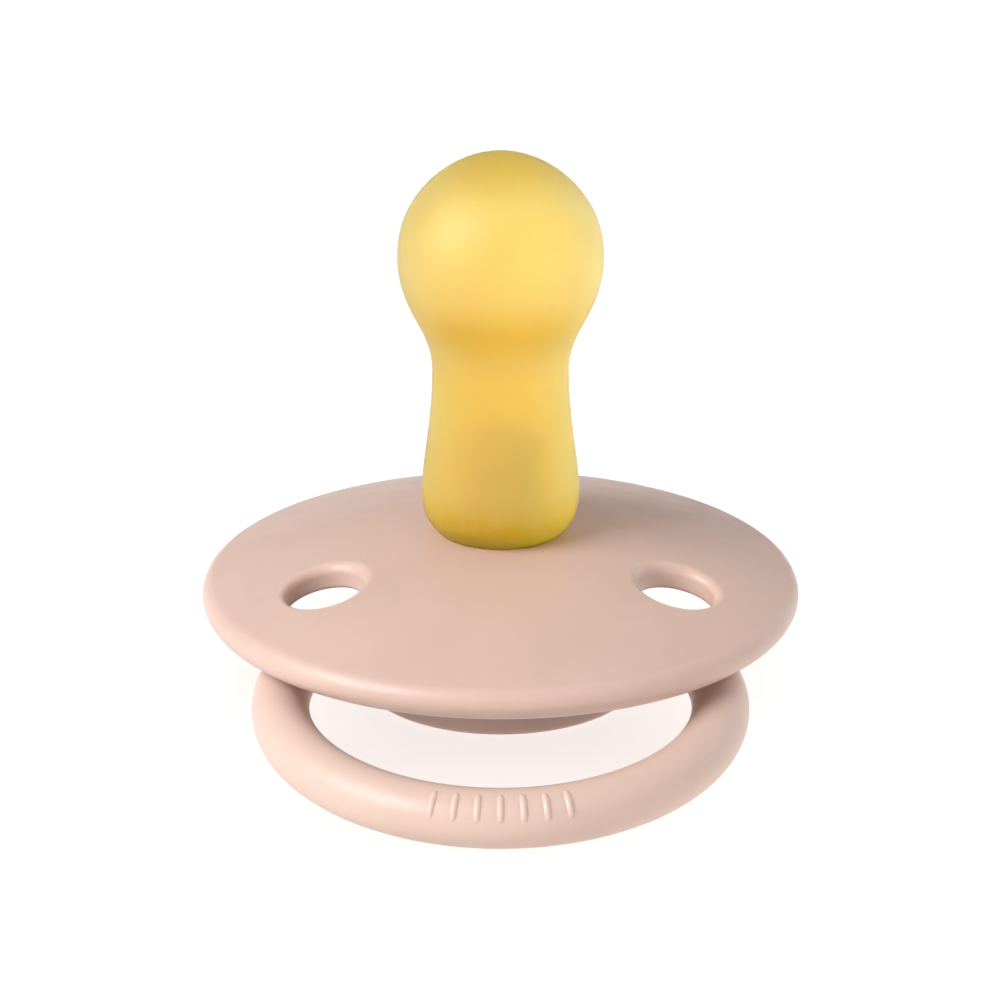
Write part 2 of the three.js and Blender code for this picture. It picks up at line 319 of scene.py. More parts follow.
def revolve_tree():
    """Turns an outline in the XZ plane about the Z axis into a closed surface."""
    tree, given = new_tree("Turned outline", [("Steps", "Int"), ("Material", "Material")])
    outline = given["Geometry"]
    count = node(tree, "GeometryNodeAttributeDomainSize", {"Geometry": outline}).outputs["Point Count"]
    grid = node(tree, "GeometryNodeMeshGrid", {
        "Size X": 1.0,
        "Size Y": 1.0,
        "Vertices X": count,
        "Vertices Y": maths(tree, "ADD", given["Steps"], 1.0),
    }).outputs["Mesh"]
    place = node(tree, "GeometryNodeInputPosition").outputs[0]
    cell = node(tree, "ShaderNodeSeparateXYZ", {"Vector": place}).outputs
    along = maths(tree, "MULTIPLY", maths(tree, "ADD", cell["X"], 0.5), maths(tree, "SUBTRACT", count, 1.0))
    index = node(tree, "FunctionNodeFloatToInt", {"Float": along}, rounding_mode="ROUND").outputs[0]
    turn = maths(tree, "MULTIPLY", maths(tree, "ADD", cell["Y"], 0.5), 2 * pi)
    sampler = node(tree, "GeometryNodeSampleIndex", data_type="FLOAT_VECTOR")
    tree.links.new(outline, sampler.inputs["Geometry"])
    tree.links.new(place, sampler.inputs["Value"])
    tree.links.new(index, sampler.inputs["Index"])
    corner = node(tree, "ShaderNodeSeparateXYZ", {"Vector": sampler.outputs[0]}).outputs
    turned = node(tree, "ShaderNodeCombineXYZ", {
        "X": maths(tree, "MULTIPLY", corner["X"], maths(tree, "COSINE", turn)),
        "Y": maths(tree, "MULTIPLY", corner["X"], maths(tree, "SINE", turn)),
        "Z": corner["Z"],
    }).outputs[0]
    bent = node(tree, "GeometryNodeSetPosition", {"Geometry": grid, "Position": turned}).outputs[0]
    sealed = node(tree, "GeometryNodeMergeByDistance", {"Geometry": bent, "Distance": SEAM}).outputs[0]
    close_tree(tree, sealed, given["Material"])
    return tree


def vent_tree():
    """Sets copies of a vent's cutter round the axis, and drapes them on the dome."""
    tree, given = new_tree("Draped vents", [
        ("Count", "Int"), ("Distance", "Float"), ("Start", "Float"),
        ("Dome Centre", "Float"), ("Dome Radius", "Float"), ("Material", "Material"),
    ])
    spots = node(tree, "GeometryNodeMeshCircle", {"Vertices": given["Count"], "Radius": given["Distance"]})
    turn = node(tree, "ShaderNodeCombineXYZ", {"Z": given["Start"]}).outputs[0]
    spun = node(tree, "GeometryNodeTransform", {
        "Geometry": spots.outputs[0],
        "Rotation": node(tree, "FunctionNodeEulerToRotation", {"Euler": turn}).outputs[0],
    }).outputs[0]
    copies = node(tree, "GeometryNodeInstanceOnPoints", {"Points": spun, "Instance": given["Geometry"]})
    real = node(tree, "GeometryNodeRealizeInstances", {"Geometry": copies.outputs[0]}).outputs[0]
    place = node(tree, "GeometryNodeInputPosition").outputs[0]
    at = node(tree, "ShaderNodeSeparateXYZ", {"Vector": place}).outputs
    x_squared = maths(tree, "MULTIPLY", at["X"], at["X"])
    y_squared = maths(tree, "MULTIPLY", at["Y"], at["Y"])
    out_squared = maths(tree, "ADD", x_squared, y_squared)
    dome_squared = maths(tree, "MULTIPLY", given["Dome Radius"], given["Dome Radius"])
    rise = maths(tree, "SQRT", maths(tree, "SUBTRACT", dome_squared, out_squared))
    lift = maths(tree, "ADD", given["Dome Centre"], rise)
    raised = node(tree, "GeometryNodeSetPosition", {
        "Geometry": real, "Offset": node(tree, "ShaderNodeCombineXYZ", {"Z": lift}).outputs[0],
    }).outputs[0]
    close_tree(tree, raised, given["Material"])
    return tree


def bar_tree():
    """Sweeps a round section along a line, as thick as the line's girth, with closed ends."""
    tree, given = new_tree("Swept bar", [("Steps", "Int"), ("Material", "Material")])
    line = node(tree, "GeometryNodeMeshToCurve", {"Mesh": given["Geometry"]}).outputs[0]
    section = node(tree, "GeometryNodeCurvePrimitiveCircle", {"Resolution": given["Steps"], "Radius": 1.0})
    girth = node(tree, "GeometryNodeInputNamedAttribute", {"Name": "girth"}, data_type="FLOAT").outputs[0]
    bar = node(tree, "GeometryNodeCurveToMesh", {
        "Curve": line, "Profile Curve": section.outputs[0], "Scale": girth, "Fill Caps": True,
    }).outputs[0]
    sealed = node(tree, "GeometryNodeMergeByDistance", {"Geometry": bar, "Distance": SEAM}).outputs[0]
    close_tree(tree, sealed, given["Material"])
    return tree


def rib_tree():
    """Sets copies of a rib along the front of the ring, evenly spaced about its middle."""
    tree, given = new_tree("Grip ribs", [
        ("Count", "Int"), ("Pitch Angle", "Float"), ("Ring Radius", "Float"), ("Material", "Material"),
    ])
    spots = node(tree, "GeometryNodeMeshLine", {"Count": given["Count"], "Offset": (0.0, 0.0, 0.0)})
    number = node(tree, "GeometryNodeInputIndex").outputs[0]
    middle = maths(tree, "MULTIPLY", maths(tree, "SUBTRACT", given["Count"], 1.0), 0.5)
    turn = maths(tree, "MULTIPLY", maths(tree, "SUBTRACT", number, middle), given["Pitch Angle"])
    spun = node(tree, "FunctionNodeEulerToRotation", {
        "Euler": node(tree, "ShaderNodeCombineXYZ", {"Z": turn}).outputs[0],
    }).outputs[0]
    ahead = maths(tree, "MULTIPLY", maths(tree, "COSINE", turn), given["Ring Radius"])
    out = node(tree, "ShaderNodeCombineXYZ", {
        "X": maths(tree, "MULTIPLY", maths(tree, "SINE", turn), given["Ring Radius"]),
        "Y": maths(tree, "MULTIPLY", ahead, -1.0),
    }).outputs[0]
    placed = node(tree, "GeometryNodeSetPosition", {"Geometry": spots.outputs[0], "Position": out}).outputs[0]
    copies = node(tree, "GeometryNodeInstanceOnPoints", {
        "Points": placed, "Instance": given["Geometry"], "Rotation": spun,
    })
    close_tree(tree, copies.outputs[0], given["Material"])
    return tree


def tree_named(name, build):
    """The tree of that name, built the first time that it is wanted."""
    return bpy.data.node_groups.get(name) or build()


def grown(mesh, tree, values):
    """The plain mesh that a tree grows from a mesh, with its inputs set by name."""
    base = bpy.data.objects.new(mesh.name, mesh)
    bpy.context.scene.collection.objects.link(base)
    modifier = base.modifiers.new(tree.name, "NODES")
    modifier.node_group = tree
    for item in tree.interface.items_tree:
        if item.item_type == "SOCKET" and item.in_out == "INPUT" and item.name in values:
            modifier[item.identifier] = values[item.name]
    return flattened(base)


def flattened(base):
    """The evaluated mesh of a helper object, which is removed."""
    graph = bpy.context.evaluated_depsgraph_get()
    mesh = bpy.data.meshes.new_from_object(base.evaluated_get(graph), depsgraph=graph)
    bpy.data.objects.remove(base)
    turn_outwards(mesh)
    return mesh


def turn_outwards(mesh):
    """Makes the faces of a closed mesh point outwards."""
    work = bmesh.new()
    work.from_mesh(mesh)
    bmesh.ops.recalc_face_normals(work, faces=work.faces)
    work.to_mesh(mesh)
    work.free()


def turned(name, line, material, steps):
    """A closed mesh from an outline of (radius, height) points turned about the Z axis."""
    tree = tree_named("Turned outline", revolve_tree)
    return grown(outline_mesh(name, line), tree, {"Steps": steps, "Material": material})


def combined(mesh, others, operation):
    """A mesh with other closed meshes cut from it or joined to it."""
    base = bpy.data.objects.new(mesh.name, mesh)
    bpy.context.scene.collection.objects.link(base)
    helpers = []
    for other in others:
        helper = bpy.data.objects.new(other.name, other)
        bpy.context.scene.collection.objects.link(helper)
        modifier = base.modifiers.new(operation, "BOOLEAN")
        modifier.operation = operation
        modifier.solver = "EXACT"
        modifier.object = helper
        helpers.append(helper)
    result = flattened(base)
    for helper in helpers:
        bpy.data.objects.remove(helper)
    return result


# ---------------------------------------------------------------- finishes

# How many cells of each pattern there are in a metre.
FLOW_MARKS = 110.0
DUST_SPECKS = 1600.0
SCUFFS = 700.0
SATIN_PATCHES = 420.0
FINE_GRAIN = 5200.0
COARSE_GRAIN = 900.0
LATEX_MOTTLE = 520.0
LATEX_CLOUDS = 150.0
LATEX_PATCHES = 380.0
LATEX_SKIN = 1500.0
LATEX_WAVES = 260.0
PAPER_TOOTH = 60.0

# Between which heights the latex grows deeper or paler in colour, and how deep it gets: the deeper band under
# the bulb is painted shade, and the paler lowest edge is painted light.
FOOT_FADE = (-1.3 * MM, 0.9 * MM)      # above the foot's widest place
# The fade below is painted light: the latex is made paler along its lowest edge, where it meets the shield.
PAINTED_BOTTOM_LIGHT_FADE = (-3.0 * MM, -1.7 * MM)      # above the foot's widest place
# The next two set the band under the bulb, which is painted shade: the latex is made deeper where the bulb's
# underside is shaded.
UNDERBULB_SHADE_RISE = (1.8 * MM, 4.0 * MM)       # above the neck's narrowest place
UNDERBULB_SHADE_FALL = (4.6 * MM, 6.8 * MM)       # above the neck's narrowest place
TIP_FADE = 2.2 * MM                    # below the tip
STEM_DEPTH = 0.38
# The next is how deep the painted shade under the bulb is made.
UNDERBULB_SHADE_DEPTH = 0.45
TIP_DEPTH = 0.6


def speckle(tree, place, scale, detail=2.0, roughness=0.5):
    """A noise pattern over the piece, about 0 to 1; scale is its number of cells in a metre."""
    return node(tree, "ShaderNodeTexNoise", {
        "Vector": place, "Scale": scale, "Detail": detail, "Roughness": roughness,
    }).outputs[0]


def spread(tree, value, low, high, start=0.35, end=0.65):
    """A value from start to end drawn out between low and high."""
    return node(tree, "ShaderNodeMapRange", {
        "Value": value, "From Min": start, "From Max": end, "To Min": low, "To Max": high,
    }).outputs[0]


def blended(tree, share, first, second):
    """Two colours mixed by a share."""
    made = node(tree, "ShaderNodeMix", {"Factor": share}, data_type="RGBA")
    for socket, value in ((made.inputs[6], first), (made.inputs[7], second)):
        if isinstance(value, bpy.types.NodeSocket):
            tree.links.new(value, socket)
        else:
            socket.default_value = (*value, 1.0)
    return made.outputs[2]


def new_finish(name):
    """An empty material and its shader, with the piece's own coordinates."""
    material = bpy.data.materials.new(name)
    material.use_nodes = True
    tree = material.node_tree
    tree.nodes.clear()
    shader = tree.nodes.new("ShaderNodeBsdfPrincipled")
    end = tree.nodes.new("ShaderNodeOutputMaterial")
    tree.links.new(shader.outputs[0], end.inputs["Surface"])
    place = node(tree, "ShaderNodeTexCoord").outputs["Object"]
    return material, tree, shader, place


def tune(shader, values):
    """Sets plain values on a shader's own inputs."""
    for socket, value in values.items():
        shader.inputs[socket].default_value = value


def scaled(colour, factor):
    """A colour made lighter or darker."""
    return tuple(min(1.0, channel * factor) for channel in colour)


def moulded_plastic(name, colour, roughness):
    """Satin moulded plastic: faint flow marks, a fine grain, and worn, shinier edges."""
    material, tree, shader, place = new_finish(name)
    flow = spread(tree, speckle(tree, place, FLOW_MARKS, 3.0), 0.0, 1.0)
    body = blended(tree, flow, scaled(colour, 0.975), scaled(colour, 1.02))
    dust = spread(tree, speckle(tree, place, DUST_SPECKS, 2.0), 0.0, 0.12, start=0.62, end=0.8)
    body = blended(tree, dust, body, scaled(colour, 1.25))
    edge = node(tree, "ShaderNodeAttribute", attribute_name="edge").outputs["Fac"]
    scuffs = spread(tree, speckle(tree, place, SCUFFS, 4.0, 0.7), 0.3, 1.0)
    worn = maths(tree, "MULTIPLY", edge, scuffs)
    body = blended(tree, maths(tree, "MULTIPLY", worn, 0.35), body, scaled(colour, 1.22))
    tree.links.new(body, shader.inputs["Base Color"])
    satin = spread(tree, speckle(tree, place, SATIN_PATCHES, 3.0), roughness - 0.05, roughness + 0.06)
    gloss = maths(tree, "SUBTRACT", satin, maths(tree, "MULTIPLY", worn, 0.10))
    tree.links.new(gloss, shader.inputs["Roughness"])
    coarse = maths(tree, "MULTIPLY", speckle(tree, place, COARSE_GRAIN, 3.0), 0.8)
    grain = maths(tree, "ADD", speckle(tree, place, FINE_GRAIN, 2.0), coarse)
    bump = node(tree, "ShaderNodeBump", {"Strength": 0.22, "Distance": 0.03 * MM, "Height": grain})
    tree.links.new(bump.outputs[0], shader.inputs["Normal"])
    tune(shader, {
        "Specular IOR Level": 0.42,
        "Subsurface Weight": 0.12,
        "Subsurface Radius": (1.0, 0.55, 0.4),
        "Subsurface Scale": 0.8 * MM,
    })
    return material


def rubber_latex(colours, sizes):
    """Amber natural latex that glows: deeper from the bulb down, mottled and deeper round its foot and deeper
    at its tip, with painted shade under its bulb and painted light along its lowest edge.
    """
    material, tree, shader, place = new_finish("latex")
    height = node(tree, "ShaderNodeSeparateXYZ", {"Vector": place}).outputs["Z"]
    deep = tuple(colours.latex_deep)

    def fade(low, high, base, ends):
        """A share that goes from low to high between two heights above a base."""
        return spread(tree, height, low, high, start=base + ends[0], end=base + ends[1])

    at_foot = fade(1.0, 0.0, sizes.foot_height, FOOT_FADE)
    mottle = spread(tree, speckle(tree, place, LATEX_MOTTLE, 4.0, 0.65), 0.35, 1.0, start=0.38, end=0.62)
    clouds = spread(tree, speckle(tree, place, LATEX_CLOUDS, 3.0), 0.0, 1.0)
    body = blended(tree, clouds, scaled(colours.latex, 0.97), scaled(colours.latex, 1.03))
    stem = spread(tree, height, STEM_DEPTH, 0.0, start=sizes.neck_height, end=sizes.bulb_height)
    body = blended(tree, stem, body, deep)
    body = blended(tree, maths(tree, "MULTIPLY", at_foot, mottle), body, deep)
    # Painted light: the lowest edge of the foot is made paler, standing for the light the latex carries down
    # to where it meets the shield.
    painted_bottom_light = fade(1.0, 0.0, sizes.foot_height, PAINTED_BOTTOM_LIGHT_FADE)
    body = blended(tree, painted_bottom_light, body, scaled(colours.latex_deep, 1.3))
    # Painted shade: a band just under the bulb is made deeper, where the bulb's underside is shaded.
    rising = fade(0.0, 1.0, sizes.neck_height, UNDERBULB_SHADE_RISE)
    falling = fade(1.0, 0.0, sizes.neck_height, UNDERBULB_SHADE_FALL)
    underbulb_painted_shade = maths(tree, "MULTIPLY", rising, falling)
    body = blended(tree, maths(tree, "MULTIPLY", underbulb_painted_shade, UNDERBULB_SHADE_DEPTH), body, deep)
    tip = fade(0.0, 1.0, NIPPLE_TIP, (-TIP_FADE, 0.0))
    body = blended(tree, maths(tree, "MULTIPLY", tip, TIP_DEPTH), body, deep)
    tree.links.new(body, shader.inputs["Base Color"])
    rough = spread(tree, speckle(tree, place, LATEX_PATCHES, 3.0), 0.42, 0.52)
    tree.links.new(rough, shader.inputs["Roughness"])
    waves = maths(tree, "MULTIPLY", speckle(tree, place, LATEX_WAVES, 2.0), 1.4)
    skin = maths(tree, "ADD", speckle(tree, place, LATEX_SKIN, 3.0), waves)
    bump = node(tree, "ShaderNodeBump", {"Strength": 0.18, "Distance": 0.06 * MM, "Height": skin})
    tree.links.new(bump.outputs[0], shader.inputs["Normal"])
    tune(shader, {
        "IOR": 1.42,
        "Specular IOR Level": 0.42,
        "Subsurface Weight": 1.0,
        "Subsurface Radius": (1.0, 0.85, 0.45),
        "Subsurface Scale": 2.0 * MM,
        "Transmission Weight": 0.75,
    })
    return material


def pale_paper(colour):
    """The stage's matt floor, with a faint tooth."""
    material, tree, shader, place = new_finish("stage_paper")
    tooth = spread(tree, speckle(tree, place, PAPER_TOOTH, 2.0), 0.99, 1.0)
    body = blended(tree, tooth, scaled(colour, 0.985), tuple(colour))
    tree.links.new(body, shader.inputs["Base Color"])
    tune(shader, {"Roughness": 0.9, "Specular IOR Level": 0.1})
    return material


# ---------------------------------------------------------------- from a mesh to a piece of the object

EDGE_START = 250.0         # curvature, one over metres, where an edge begins to show wear
EDGE_FULL = 1500.0         # curvature of an edge that is fully worn


def mark_edges(mesh):
    """Stores how sharply the surface bends outwards at each point, as the attribute edge."""
    count = len(mesh.vertices)
    places = np.empty(count * 3)
    normals = np.empty(count * 3)
    ends = np.empty(len(mesh.edges) * 2, dtype=np.int64)
    mesh.vertices.foreach_get("co", places)
    mesh.vertices.foreach_get("normal", normals)
    mesh.edges.foreach_get("vertices", ends)
    places, normals, ends = places.reshape(-1, 3), normals.reshape(-1, 3), ends.reshape(-1, 2)
    sharpest = np.zeros(count)
    for here, there in ((ends[:, 0], ends[:, 1]), (ends[:, 1], ends[:, 0])):
        span = places[here] - places[there]
        bend = 2 * np.einsum("ij,ij->i", normals[here], span) / np.maximum((span ** 2).sum(1), 1e-12)
        np.maximum.at(sharpest, here, bend)
    worn = np.clip((sharpest - EDGE_START) / (EDGE_FULL - EDGE_START), 0.0, 1.0)
    attribute = mesh.attributes.new("edge", "FLOAT", "POINT")
    attribute.data.foreach_set("value", worn.astype(np.float32))


def add_piece(name, mesh, material, cad_node, crease=40 * DEGREE):
    """Finishes a mesh as a piece that stands for a CAD node and rides on that node's body."""
    mesh.name = name
    mesh.materials.clear()
    mesh.materials.append(material)
    mesh.shade_smooth()
    mesh.set_sharp_from_angle(angle=crease)
    mark_edges(mesh)
    piece = bpy.data.objects.new(name, mesh)
    bpy.context.scene.collection.objects.link(piece)
    bodies = frame["record"]["behaviour"]["bodies"]
    body = next(body for body, members in bodies.items() if cad_node in members)
    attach(piece, body)
    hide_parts(cad_node)
    return piece


# ---------------------------------------------------------------- heights that several pieces share

class Dome:
    """The shield's dome, and what is stacked under it."""

    def __init__(self, settings):
        shield, nipple = settings.shield, settings.nipple
        self.rim = shield.radius - shield.bead
        spread_squared = self.rim ** 2 + shield.rise ** 2 - shield.bead ** 2
        self.radius = spread_squared / (2 * (shield.rise - shield.bead))
        self.centre = shield.bead_height + shield.rise - self.radius
        self.inner = self.radius - shield.web
        self.gap = GAP
        self.flange_top = self.under(nipple.flange) - self.gap
        self.flange_bottom = self.flange_top - nipple.flange_thickness
        self.disc_top = self.flange_bottom - self.gap
        self.disc_bottom = self.disc_top - settings.plug.disc
        self.shoulder = settings.button.barrel + self.gap

    def top(self, r):
        """Height of the dome's outside at a distance from the axis."""
        return self.centre + sqrt(self.radius ** 2 - r ** 2)

    def under(self, r):
        """Height of the dome's inside at a distance from the axis."""
        return self.centre + sqrt(self.inner ** 2 - r ** 2)


# ---------------------------------------------------------------- the pieces

class PACIFIER_OT_nipple(bpy.types.Operator):
    """Makes the hollow latex nipple: tip, bulb, neck and foot, and the flange under the shield."""

    bl_idname = "pacifier.nipple"
    bl_label = "Nipple"

    # How far the outline's curves are drawn out past the tip, bulb, neck, foot and seat.
    tip_pull = 3.15 * MM
    bulb_pull_up = 4.6 * MM
    bulb_pull_down = 3.8 * MM
    neck_pull_up = 3.2 * MM
    neck_pull_down = 3.9 * MM
    foot_pull = 2.4 * MM
    seat_pull = 0.8 * MM

    def line(self, sizes, inset, end_radius, end_height, steps):
        """The smooth line over tip, bulb, neck and foot, moved inwards by a wall's thickness."""
        tip = NIPPLE_TIP - inset
        bulb, neck, foot = (radius - inset for radius in (sizes.bulb, sizes.neck, sizes.foot))
        bulb_z, neck_z, foot_z = sizes.bulb_height, sizes.neck_height, sizes.foot_height
        return [
            (0.0, tip),
            *bezier([
                (0.0, tip),
                (self.tip_pull, tip),
                (bulb, bulb_z + self.bulb_pull_up),
                (bulb, bulb_z),
            ], 2 * steps),
            *bezier([
                (bulb, bulb_z),
                (bulb, bulb_z - self.bulb_pull_down),
                (neck, neck_z + self.neck_pull_up),
                (neck, neck_z),
            ], 2 * steps),
            *bezier([
                (neck, neck_z),
                (neck, neck_z - self.neck_pull_down),
                (foot, foot_z + self.foot_pull),
                (foot, foot_z),
            ], steps),
            *bezier([
                (foot, foot_z),
                (foot, end_height + self.seat_pull),
                (end_radius, end_height),
            ], steps),
        ]

    def execute(self, context):
        settings = context.scene.pacifier
        sizes, dome = settings.nipple, Dome(settings)
        stem = settings.shield.nipple_hole - 5 * TOUCH
        seat = dome.top(sizes.seat) + TOUCH
        line = [
            *self.line(sizes, 0.0, sizes.seat, seat, 14),
            (stem, seat),
            (stem, dome.flange_top),
            *eased([
                (stem, dome.flange_top),
                (sizes.flange, dome.flange_top, 0.3 * MM),
                (sizes.flange, dome.flange_bottom, 0.3 * MM),
                (sizes.mouth, dome.flange_bottom, 0.2 * MM),
                (sizes.mouth, seat),
            ])[1:-1],
            *reversed(self.line(sizes, sizes.wall, sizes.mouth, seat, 8)),
        ]
        latex = rubber_latex(settings.colours, sizes)
        mesh = turned("latex_nipple", line, latex, steps=192)
        add_piece("latex_nipple", mesh, latex, "nipple")
        return {"FINISHED"}


class PACIFIER_OT_shield(bpy.types.Operator):
    """Makes the domed shield with its rounded rim, its draped vents and the collar under it."""

    bl_idname = "pacifier.shield"
    bl_label = "Shield"

    def blank(self, sizes, dome, plastic):
        """The shield before its vents are cut."""
        collar_outer = dome.shoulder + sizes.collar_wall
        collar_bottom = dome.under(dome.shoulder) - sizes.collar

        def under_angle(r):
            """Where a distance from the axis lies on the arc of the dome's inside."""
            return acos(r / dome.inner)

        rim_angle = atan2(sizes.bead_height - dome.centre, dome.rim)
        bead_turn = 2 * pi - acos(1 - sizes.web / sizes.bead)
        crease = dome.rim + sizes.bead * cos(rim_angle - bead_turn)
        beside_hole = sizes.nipple_hole + 3 * sizes.ease
        beside_collar = collar_outer + 2 * sizes.ease
        inside_collar = dome.shoulder - 2 * sizes.ease
        line = eased([
            *arc(0.0, dome.centre, dome.radius, acos(beside_hole / dome.radius), rim_angle, 40),
            *arc(dome.rim, sizes.bead_height, sizes.bead, rim_angle, rim_angle - bead_turn, 28)[1:],
            *arc(0.0, dome.centre, dome.inner, under_angle(crease), under_angle(beside_collar), 16)[1:],
            (collar_outer, dome.under(collar_outer), sizes.ease),
            (collar_outer, collar_bottom, sizes.ease),
            (dome.shoulder, collar_bottom, sizes.ease),
            (dome.shoulder, dome.under(dome.shoulder), sizes.ease),
            *arc(0.0, dome.centre, dome.inner, under_angle(inside_collar), under_angle(beside_hole), 6),
            (sizes.nipple_hole, dome.under(sizes.nipple_hole), sizes.ease),
            (sizes.nipple_hole, dome.top(sizes.nipple_hole), sizes.ease),
        ], closed=True)
        return turned("shield_blank", line, plastic, steps=320)

    def vents(self, sizes, dome, plastic):
        """The cutters of all vents, with edges that are rounded above and below."""
        under = -sizes.web - TOUCH
        edge = sizes.vent_radius + sizes.vent_rounding
        low_rounding = 0.5 * sizes.vent_rounding
        low_edge = sizes.vent_radius + low_rounding
        lift = TOUCH / 5
        line = [
            (0.0, under - sizes.web),
            (low_edge, under - sizes.web),
            *arc(low_edge, under + low_rounding, low_rounding, -90 * DEGREE, -180 * DEGREE, 8),
            *arc(edge, lift - sizes.vent_rounding, sizes.vent_rounding, 180 * DEGREE, 90 * DEGREE, 14),
            (edge, sizes.web),
            (0.0, sizes.web),
        ]
        cutter = turned("vent_cutter", line, plastic, steps=160)
        return grown(cutter, tree_named("Draped vents", vent_tree), {
            "Count": sizes.vents, "Distance": sizes.vent_distance, "Start": sizes.vent_start,
            "Dome Centre": dome.centre, "Dome Radius": dome.radius, "Material": plastic,
        })

    def execute(self, context):
        settings = context.scene.pacifier
        sizes, dome = settings.shield, Dome(settings)
        plastic = moulded_plastic("shield_plastic", settings.colours.shield, 0.42)
        mesh = self.blank(sizes, dome, plastic)
        if sizes.vents:
            mesh = combined(mesh, [self.vents(sizes, dome, plastic)], "DIFFERENCE")
        add_piece("domed_shield", mesh, plastic, "shield")
        return {"FINISHED"}


class PACIFIER_OT_plug(bpy.types.Operator):
    """Makes the plug that clamps the nipple's flange and fills its mouth."""

    bl_idname = "pacifier.plug"
    bl_label = "Inner plug"

    def notch(self, sizes, rounding, bottom):
        """A rounded block that cuts the notch for the air across the hub's foot."""
        mesh = bpy.data.meshes.new("notch")
        work = bmesh.new()
        bmesh.ops.create_cube(work, size=1.0)
        bmesh.ops.scale(work, verts=work.verts, vec=(sizes.notch, 3 * sizes.hub, 2 * sizes.notch_height))
        bmesh.ops.bevel(work, geom=work.edges[:], offset=rounding, segments=3, affect="EDGES")
        bmesh.ops.translate(work, verts=work.verts, vec=(0.0, 0.0, bottom))
        work.to_mesh(mesh)
        work.free()
        return mesh

    def execute(self, context):
        settings = context.scene.pacifier
        sizes, dome = settings.plug, Dome(settings)
        bottom = settings.button.floor + dome.gap
        ceiling = dome.disc_bottom - sizes.ceiling
        spigot = settings.nipple.mouth - dome.gap
        flange = settings.nipple.flange
        small = 0.15 * MM
        line = eased([
            (sizes.hub_bore, bottom, small),
            (sizes.hub, bottom, small),
            (sizes.hub, dome.disc_bottom, small),
            (flange, dome.disc_bottom, small),
            (flange, dome.disc_top, small),
            (spigot, dome.disc_top, small),
            (spigot, sizes.spigot_top, sizes.rounding),
            (sizes.channel, sizes.spigot_top, small),
            (sizes.channel, ceiling, small),
            (sizes.hub_bore, ceiling, small),
        ], steps=8, closed=True)
        plastic = moulded_plastic("plug_plastic", settings.colours.plug, 0.5)
        mesh = turned("clamp_plug", line, plastic, steps=128)
        mesh = combined(mesh, [self.notch(sizes, small, bottom)], "DIFFERENCE")
        add_piece("clamp_plug", mesh, plastic, "inner_plug")
        return {"FINISHED"}


class PACIFIER_OT_button(bpy.types.Operator):
    """Makes the button with its hollow barrel, its pin holes and the scoops for the swinging ring."""

    bl_idname = "pacifier.button"
    bl_label = "Back button"

    def scoop(self, settings, dome, side, plastic):
        """What the swinging ring needs free beside the barrel, on one side."""
        sizes, ring = settings.button, settings.ring
        inner = ring.radius - ring.wire
        start = dome.shoulder - dome.gap
        end = sizes.radius + 0.6 * MM
        steps = 16
        room = 0.4 * MM
        places = [start + (end - start) * i / steps for i in range(steps + 1)]
        reach = [max(ring.reach - sqrt(inner ** 2 - x ** 2), ring.wire) + room for x in places]
        line = [(0.0, start), *zip(reach, places), (0.0, end)]
        mesh = turned("scoop", line, plastic, steps=96)
        mesh.transform(Matrix.Translation(HINGE) @ Matrix.Rotation(side * pi / 2, 4, "Y"))
        return mesh

    def execute(self, context):
        settings = context.scene.pacifier
        sizes, dome = settings.button, Dome(settings)
        barrel_top = dome.under(sizes.barrel) - dome.gap
        small = 0.2 * MM
        faint = 0.15 * MM
        groove_in = sizes.groove - sizes.groove_width / 2
        groove_out = sizes.groove + sizes.groove_width / 2
        line = eased([
            (0.0, 0.0),
            (groove_in, 0.0, faint),
            (groove_in + sizes.groove_depth / 2, sizes.groove_depth, faint),
            (groove_out - sizes.groove_depth / 2, sizes.groove_depth, faint),
            (groove_out, 0.0, faint),
            (sizes.radius, 0.0, sizes.rounding),
            (sizes.radius, sizes.thickness, sizes.rounding),
            (sizes.barrel, sizes.thickness, small),
            (sizes.barrel, barrel_top, small),
            (sizes.bore, barrel_top, small),
            (sizes.bore, sizes.floor, small),
            (0.0, sizes.floor),
        ], steps=8)
        # The button's material carries the painted shade of its darker blush.
        plastic = moulded_plastic("button_plastic", settings.colours.button, 0.45)
        mesh = turned("back_button", line, plastic, steps=256)
        hole = settings.ring.pin + dome.gap
        bar_line = [(0.0, -sizes.radius), (hole, -sizes.radius), (hole, sizes.radius), (0.0, sizes.radius)]
        bar = turned("pin_hole", bar_line, plastic, steps=64)
        bar.transform(Matrix.Translation(HINGE) @ Matrix.Rotation(pi / 2, 4, "Y"))
        cutters = [bar, self.scoop(settings, dome, 1, plastic), self.scoop(settings, dome, -1, plastic)]
        mesh = combined(mesh, cutters, "DIFFERENCE")
        add_piece("backing_button", mesh, plastic, "back_button")
        return {"FINISHED"}


